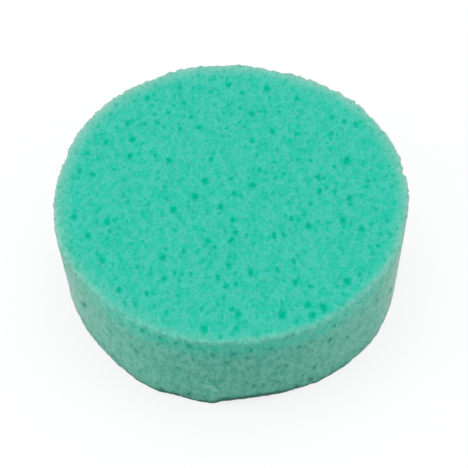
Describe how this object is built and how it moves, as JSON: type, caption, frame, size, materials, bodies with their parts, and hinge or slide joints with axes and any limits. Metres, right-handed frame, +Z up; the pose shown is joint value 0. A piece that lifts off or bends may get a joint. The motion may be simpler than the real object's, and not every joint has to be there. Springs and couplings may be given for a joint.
{
  "type": "sponge",
  "caption": "Round flat disc of open-cell foam with soft edges, the water pad of a round wet palette.",
  "frame": {"origin": "centre of the underside", "axes": "+Z up along the disc's axis, towards the top face; X and Y lie in the underside, and -Y is the front"},
  "size_m": [0.078, 0.078, 0.025],
  "materials": {
    "foam": "matte open-cell foam"
  },
  "bodies": {
    "root": {"sponge": "foam"}
  },
  "joints": []
}
